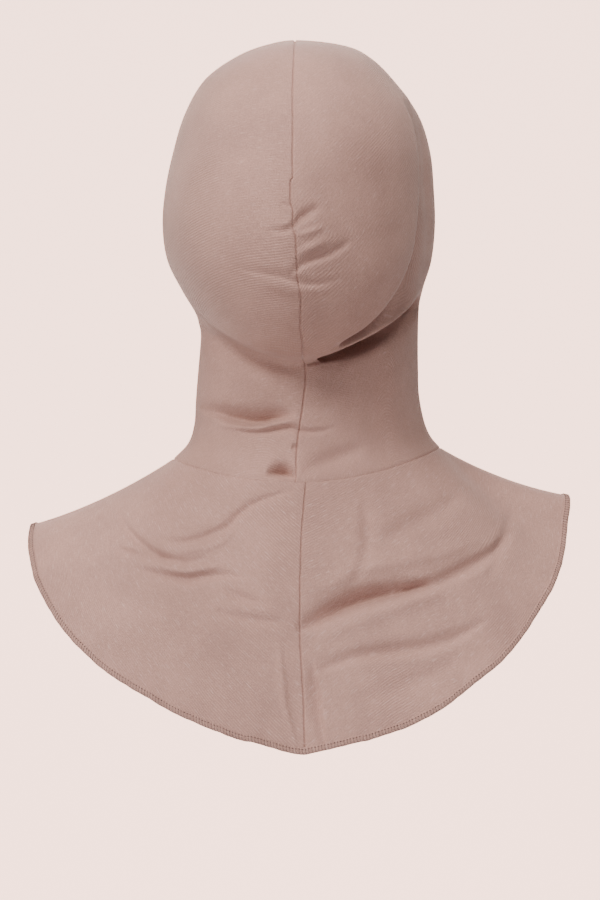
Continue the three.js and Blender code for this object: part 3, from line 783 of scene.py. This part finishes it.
def inside_opening(points, hems):
    """Which places lie inside the face opening, seen from the front."""
    hood, _, _ = settings()
    wide, high, middle = opening()
    x, z = points[:, 0], points[:, 2] - middle
    turn = np.arctan2(z / (high + hems * hood.hem_end), x / wide)
    rim_x, rim_z = face_outline(turn, hems)
    return (points[:, 1] < 0) & (np.hypot(x, z) < np.hypot(rim_x, rim_z - middle))


def cut_face_opening(obj, face):
    """Cuts the opening out of a hood panel, a little under its hem, with a smooth edge."""
    bm = bmesh.new()
    bm.from_mesh(obj.data)
    bm.verts.ensure_lookup_table()
    places = np.array([vert.co for vert in bm.verts])
    inside = inside_opening(places, CLOTH_UNDER_HEM)
    gone = [vert for vert, is_in in zip(bm.verts, inside) if is_in]
    bmesh.ops.delete(bm, geom=gone, context="VERTS")
    samples, reach = 721, 0.0045
    turns = np.linspace(-math.pi, math.pi, samples)
    rim_x, rim_z = face_outline(turns, CLOTH_UNDER_HEM)
    rim = face.at(*on_front(face, rim_x, rim_z))
    for vert in bm.verts:
        if vert.is_boundary and vert.co.y < 0:
            away = np.linalg.norm(rim - np.array(vert.co), axis=-1)
            if away.min() < reach:
                vert.co = rim[away.argmin()]
    bmesh.ops.remove_doubles(bm, verts=bm.verts, dist=1e-5)
    bmesh.ops.dissolve_degenerate(bm, edges=bm.edges, dist=1e-6)
    loose = [vert for vert in bm.verts if not vert.link_faces]
    bmesh.ops.delete(bm, geom=loose, context="VERTS")
    bm.to_mesh(obj.data)
    bm.free()


def ring_band(name, cells, place, material):
    """A closed band round the cap: a grid rolled into a tube that runs round and meets itself.
    place(share round, turn of the section) gives its places and its flat ones."""
    across, along = cells
    bm, rows, columns = sheet_grid(along, across)
    points, flat = place(columns / along, rows / across)
    lay(bm, points)
    give_uv(bm, flat)
    bmesh.ops.remove_doubles(bm, verts=bm.verts, dist=1e-6)
    bmesh.ops.recalc_face_normals(bm, faces=bm.faces)
    return new_object(name, bm, material)


def cape_hem_points(face, bearing, turn, proud=0.0):
    """Places on the overlocked edge's surface, or proud of it, by the turn of its section."""
    _, cape, jersey = settings()
    across, up = rounded(turn)
    start = 1 - cape.hem / face.length(bearing)
    points, normals = folded(face, bearing, start + (1 - start) * (1 + across) / 2)
    full = 0.5 + 0.5 * smoothstep(-1.0, -0.1, across)
    high = up * (jersey.hem_thickness / 2 * full + proud) - jersey.thickness / 2
    return points + normals * high[..., None]


def hem_flat(share, across, up, sizes):
    """Places on a hem as its cloth lies flat."""
    run, half, inner = sizes
    return np.stack([share * run, (across + 1) * half + inner * (up < 0)], -1)


def even_bearings(face, pitch):
    """Bearings that divide the cape's edge evenly, about a pitch apart."""
    samples, down = 3001, 0.98
    bearings = np.linspace(180, -180, samples)
    run = distances(face.at(bearings, down), 0)
    count = round(run[-1] / pitch)
    return np.interp(np.arange(count) / count * run[-1], run, bearings)


def rounded(turn, power=0.55):
    """A section between a circle and a square: across and up, each from -1 to 1."""
    cos, sin = np.cos(turn), np.sin(turn)
    return np.sign(cos) * abs(cos) ** power, np.sign(sin) * abs(sin) ** power


def thread(bm, points, radius, sides=5):
    """A short length of thread through its points."""
    points = np.array(points, float)
    along = unit(np.gradient(points, axis=0))
    middle = along.mean(0)
    aside = np.cross(middle, (0, 0, 1) if abs(middle[2]) < 0.9 * np.linalg.norm(middle) else (1, 0, 0))
    first = unit(np.cross(along, np.cross(aside, middle)))
    second = np.cross(along, first)
    rings = []
    for i, point in enumerate(points):
        size = radius * (0.35 if i in (0, len(points) - 1) else 1.0)
        ring = bmesh.ops.create_circle(bm, segments=sides, radius=size)["verts"]
        for j, vert in enumerate(ring):
            turn = 2 * math.pi * j / sides
            vert.co = point + size * (math.cos(turn) * first[i] + math.sin(turn) * second[i])
        rings.append(ring)
    for ring, beyond in zip(rings, rings[1:]):
        for j in range(sides):
            k = (j + 1) % sides
            bm.faces.new((ring[j], ring[k], beyond[k], beyond[j]))
    bm.faces.new(rings[0][::-1])
    bm.faces.new(rings[-1])


def node_maker(material):
    nodes = material.node_tree.nodes
    links = material.node_tree.links

    def make(kind, inputs=(), **options):
        node = nodes.new(kind)
        for key, value in options.items():
            setattr(node, key, value)
        for socket, value in dict(inputs).items():
            if isinstance(value, bpy.types.NodeSocket):
                links.new(value, node.inputs[socket])
            else:
                node.inputs[socket].default_value = value
        return node

    return make


def mixed_colour(make, factor, first, second):
    sockets = {MIX_FACTOR: factor, MIX_FIRST: first, MIX_SECOND: second}
    return make("ShaderNodeMix", sockets, data_type="RGBA").outputs[MIX_RESULT]


def new_material(name):
    material = bpy.data.materials.get(name) or bpy.data.materials.new(name)
    material.use_nodes = True
    material.node_tree.nodes.clear()
    return material


def jersey_material(name, turned, tint=1.0, streaky=0.5):
    """Fine jersey. Its ribs run along the cloth's second direction, turned by an angle, and show in
    patches, with painted shade in their grooves. streaky is how much its light slubs show."""
    _, _, jersey = settings()
    material = new_material(name)
    make = node_maker(material)

    def shade(colour):
        return (*(channel * tint for channel in colour), 1.0)

    def noise(place, scale, detail, roughness=0.5):
        made = make(
            "ShaderNodeTexNoise",
            {"Vector": place, "Scale": scale, "Detail": detail, "Roughness": roughness},
        )
        return made.outputs["Fac"]

    def ramp(value, low, high, start=0.0, end=1.0):
        limits = {"Value": value, "From Min": low, "From Max": high, "To Min": start, "To Max": end}
        return make("ShaderNodeMapRange", limits).outputs["Result"]

    def count(first, second, operation):
        return make("ShaderNodeMath", {0: first, 1: second}, operation=operation).outputs[0]

    def stripes(place, pitch, direction, wobble):
        made = make(
            "ShaderNodeTexWave",
            {"Vector": place, "Scale": math.pi / (10 * pitch), "Distortion": wobble, "Detail": 2.0,
             "Detail Scale": 0.35},
            wave_type="BANDS", bands_direction=direction, wave_profile="SIN",
        )
        return made.outputs["Fac"]

    uv = make("ShaderNodeUVMap", uv_map="cloth").outputs["UV"]
    solid = make("ShaderNodeTexCoord").outputs["Object"]
    cloth = make("ShaderNodeMapping", {"Vector": uv, "Rotation": (0, 0, turned)}).outputs["Vector"]
    ribs = stripes(cloth, jersey.rib, "X", 0.9)
    rows = stripes(cloth, jersey.rib * 0.62, "Y", 1.5)
    long_cells = make("ShaderNodeMapping", {"Vector": cloth, "Scale": (1500, 170, 1)}).outputs["Vector"]
    slubs = ramp(noise(long_cells, 1.0, 2.0), 0.56, 0.74, 0.0, streaky)
    grain = noise(solid, 1100.0, 3.0, 0.6)
    clouds = noise(solid, 24.0, 3.0, 0.6)
    mottled = count(count(clouds, 0.42, "MULTIPLY"), count(grain, 0.58, "MULTIPLY"), "ADD")
    patches = ramp(noise(solid, 17.0, 1.0), 0.42, 0.62, 0.25, 1.0)
    base = mixed_colour(make, ramp(mottled, 0.62, 0.38), shade(jersey.colour), shade(jersey.shade))
    flecked = mixed_colour(make, slubs, base, shade(jersey.slub))
    # Painted shade: the rib grooves are darkened towards the shade colour, in patches
    painted_groove_shade = count(ramp(ribs, 0.35, 0.9, 0.0, 0.75), patches, "MULTIPLY")
    with_painted_groove_shade = mixed_colour(make, painted_groove_shade, flecked, shade(jersey.shade))
    relief = count(count(ribs, patches, "MULTIPLY"), count(rows, 0.4, "MULTIPLY"), "ADD")
    height = count(relief, count(grain, 1.9, "MULTIPLY"), "ADD")
    bump = make("ShaderNodeBump", {"Height": height, "Strength": 0.7, "Distance": 0.0002})
    shader = make(
        "ShaderNodeBsdfPrincipled",
        {"Base Color": with_painted_groove_shade, "Roughness": ramp(mottled, 0.3, 0.7, 0.70, 0.82),
         "Normal": bump.outputs["Normal"], "Specular IOR Level": 0.25, "Sheen Weight": 0.35,
         "Sheen Roughness": 0.45, "Sheen Tint": (1.0, 0.80, 0.74, 1.0)},
    )
    make("ShaderNodeOutputMaterial", {"Surface": shader.outputs["BSDF"]})
    return material


def thread_material():
    _, _, jersey = settings()
    material = new_material("thread")
    make = node_maker(material)
    solid = make("ShaderNodeTexCoord").outputs["Object"]
    fibres = make("ShaderNodeTexNoise", {"Vector": solid, "Scale": 2500.0, "Detail": 2.0}).outputs["Fac"]
    lighter = [channel * 1.35 for channel in jersey.thread]
    shades = mixed_colour(make, fibres, (*jersey.thread, 1.0), (*lighter, 1.0))
    bump = make("ShaderNodeBump", {"Height": fibres, "Strength": 0.5, "Distance": 0.00008})
    shader = make(
        "ShaderNodeBsdfPrincipled",
        {"Base Color": shades, "Roughness": 0.6, "Normal": bump.outputs["Normal"],
         "Specular IOR Level": 0.3, "Sheen Weight": 0.2},
    )
    make("ShaderNodeOutputMaterial", {"Surface": shader.outputs["BSDF"]})
    return material


class CAP_OT_hood(bpy.types.Operator):
    """Makes the hood's two panels, with the face opening cut out"""

    bl_idname = "cap.hood"
    bl_label = "Make hood"

    def execute(self, context):
        face = HoodFace()
        columns, rows = HOOD_CELLS
        downs = np.append(spread(face, rows, NECK_FINER)[:-1], (face.last - SEW_ROW, face.last))
        for obj, node in panels("hood", face, columns, downs, -1, HOOD_RIBS):
            cut_face_opening(obj, face)
            dress(obj, node)
            thicken(obj)
        return {"FINISHED"}


class CAP_OT_cape(bpy.types.Operator):
    """Makes the cape's two panels, down to its overlocked edge"""

    bl_idname = "cap.cape"
    bl_label = "Make cape"

    def execute(self, context):
        _, cape, _ = settings()
        face = CapeFace()
        columns, rows = CAPE_CELLS
        end = 1 - cape.hem / 2 / face.length(np.zeros(1))[0]
        downs = np.insert(np.linspace(0, end, rows), 1, CAPE_SEW_ROW)
        for obj, node in panels("cape", face, columns, downs, 0, CAPE_RIBS):
            dress(obj, node)
            thicken(obj)
        return {"FINISHED"}


class CAP_OT_face_hem(bpy.types.Operator):
    """Makes the turned hem round the face opening"""

    bl_idname = "cap.face_hem"
    bl_label = "Make face hem"

    def execute(self, context):
        _, _, jersey = settings()
        face = HoodFace()

        def place(share, section):
            turn = math.pi - 2 * math.pi * share
            across, up = rounded(2 * math.pi * section)
            inner = face_outline(turn, 0)
            outer = face_outline(turn, 1)
            reach = (1 + across) / 2
            x = inner[0] + (outer[0] - inner[0]) * reach
            z = inner[1] + (outer[1] - inner[1]) * reach
            bearing, level = on_front(face, x, z)
            points = face.at(bearing, level)
            normals = normals_of(face, bearing, level)
            high = up * jersey.hem_thickness / 2 - jersey.thickness / 2
            return points + normals * high[..., None], hem_flat(share, across, up, FACE_HEM_FLAT)

        material = jersey_material("jersey_face_hem", 0.0, 0.97)
        obj = ring_band("face_hem_cloth", FACE_HEM_CELLS, place, material)
        declare(obj, "face_hem")
        return {"FINISHED"}


class CAP_OT_cape_hem(bpy.types.Operator):
    """Makes the overlocked edge of the cape, with its stitches"""

    bl_idname = "cap.cape_hem"
    bl_label = "Make cape hem"

    def execute(self, context):
        face = CapeFace()

        def place(share, section):
            across, up = rounded(2 * math.pi * section)
            points = cape_hem_points(face, 180 - 360 * share, 2 * math.pi * section)
            return points, hem_flat(share, across, up, CAPE_HEM_FLAT)

        material = jersey_material("jersey_cape_hem", 0.3, 0.96)
        obj = ring_band("cape_hem_cloth", CAPE_HEM_CELLS, place, material)
        declare(obj, "cape_hem")
        declare(self.overlock(face))
        return {"FINISHED"}

    def overlock(self, face):
        """The row of stitches along the edge, and the threads that are looped over it."""
        _, _, jersey = settings()
        rng = random.Random(7)
        bearings = even_bearings(face, jersey.stitch)
        steps = np.gradient(bearings)
        bm = bmesh.new()
        for stitch in (NEEDLE, LOOPER):
            shares = np.linspace(stitch.start, stitch.end, len(stitch.turns))
            along = bearings[:, None] + steps[:, None] * shares
            turns = np.broadcast_to(np.radians(stitch.turns), along.shape)
            for line in cape_hem_points(face, along, turns, stitch.radius * 0.5):
                thread(bm, line, stitch.radius * rng.uniform(0.85, 1.15))
        bmesh.ops.recalc_face_normals(bm, faces=bm.faces)
        return new_object("cape_hem_thread", bm, thread_material())


class CAP_OT_studio(bpy.types.Operator):
    """Sets a plain stage, soft light and the camera behind the cap"""

    bl_idname = "cap.studio"
    bl_label = "Set studio"

    def execute(self, context):
        look = context.scene.cap_studio
        middle = (CAD_BOX[0] + CAD_BOX[1]) / 2
        self.stage(look)
        self.camera(look)
        self.lights(look, middle)
        world = bpy.data.worlds.new("soft_room")
        world.use_nodes = True
        background = world.node_tree.nodes["Background"]
        background.inputs["Color"].default_value = (1.0, 0.97, 0.95, 1.0)
        background.inputs["Strength"].default_value = look.room
        context.scene.world = world
        return {"FINISHED"}

    def stage(self, look):
        """A floor that bends up into a wall."""
        bm = bmesh.new()
        bmesh.ops.create_grid(bm, x_segments=1, y_segments=STAGE.strips, size=0.5)
        flat = STAGE.near + STAGE.far - STAGE.bend
        curve = math.pi / 2 * STAGE.bend
        for vert in bm.verts:
            along = (vert.co.y + 0.5) * (flat + curve + STAGE.top)
            turn = min(max(along - flat, 0), curve) / STAGE.bend
            y = STAGE.near - min(along, flat) - STAGE.bend * math.sin(turn)
            z = STAGE.floor + STAGE.bend * (1 - math.cos(turn)) + max(along - flat - curve, 0)
            vert.co = (vert.co.x * STAGE.width, y, z)
        bmesh.ops.recalc_face_normals(bm, faces=bm.faces)
        material = new_material("stage")
        make = node_maker(material)
        place = make("ShaderNodeTexCoord").outputs["Object"]
        away = make(
            "ShaderNodeVectorMath", {0: place, 1: GLOW_MIDDLE}, operation="DISTANCE"
        ).outputs["Value"]
        share = make(
            "ShaderNodeMapRange", {"Value": away, "From Min": GLOW_STARTS, "From Max": GLOW_FULL},
            interpolation_type="SMOOTHSTEP",
        ).outputs["Result"]
        paint = mixed_colour(make, share, (*look.floor, 1.0), (*look.wall, 1.0))
        glow = make("ShaderNodeMapRange", {"Value": share, "To Max": look.wall_glow}).outputs["Result"]
        shader = make(
            "ShaderNodeBsdfPrincipled",
            {"Base Color": paint, "Roughness": 0.95, "Emission Color": paint, "Emission Strength": glow},
        )
        make("ShaderNodeOutputMaterial", {"Surface": shader.outputs["BSDF"]})
        new_object("studio_floor", bm, material)

    def camera(self, look):
        data = bpy.data.cameras.new("camera")
        data.sensor_width = 36.0
        data.lens = data.sensor_width * look.distance / look.view_height
        camera = bpy.data.objects.new("camera", data)
        camera.location = (PHOTO.aside, look.distance, PHOTO.height)
        camera.rotation_euler = (math.pi / 2, 0, math.pi)
        bpy.context.scene.collection.objects.link(camera)
        bpy.context.scene.camera = camera

    def lights(self, look, middle):
        for lamp in LIGHTS:
            data = bpy.data.lights.new(lamp.name, "AREA")
            data.size = lamp.size
            data.energy = getattr(look, lamp.power) * lamp.share
            data.color = lamp.colour
            light = bpy.data.objects.new(lamp.name, data)
            light.location = lamp.place
            aim = middle - light.location
            light.rotation_euler = aim.to_track_quat("-Z", "Y").to_euler()
            bpy.context.scene.collection.objects.link(light)


class CAP_PT_panel(bpy.types.Panel):
    """Lists the cap's sizes, colours and steps"""

    bl_idname = "CAP_PT_panel"
    bl_label = "Underscarf cap"
    bl_space_type = "VIEW_3D"
    bl_region_type = "UI"
    bl_category = "Cap"

    def draw(self, context):
        for group in (context.scene.cap_hood, context.scene.cap_cape, context.scene.cap_jersey,
                      context.scene.cap_studio):
            box = self.layout.box()
            for name in group.__annotations__:
                box.prop(group, name)
        for operator in STEPS:
            self.layout.operator(operator.bl_idname)


GROUPS = {"cap_hood": HoodSizes, "cap_cape": CapeSizes, "cap_jersey": JerseyLook, "cap_studio": StudioLook}
STEPS = (CAP_OT_hood, CAP_OT_cape, CAP_OT_face_hem, CAP_OT_cape_hem, CAP_OT_studio)
CLASSES = (*GROUPS.values(), *STEPS, CAP_PT_panel)


def register():
    for cls in CLASSES:
        bpy.utils.register_class(cls)
    for name, group in GROUPS.items():
        setattr(bpy.types.Scene, name, PointerProperty(type=group))


def unregister():
    for name in GROUPS:
        delattr(bpy.types.Scene, name)
    for cls in reversed(CLASSES):
        bpy.utils.unregister_class(cls)


def main():
    register()
    bpy.ops.cap.hood()
    bpy.ops.cap.cape()
    bpy.ops.cap.face_hem()
    bpy.ops.cap.cape_hem()
    bpy.ops.cap.studio()


if __name__ == "__main__":
    main()
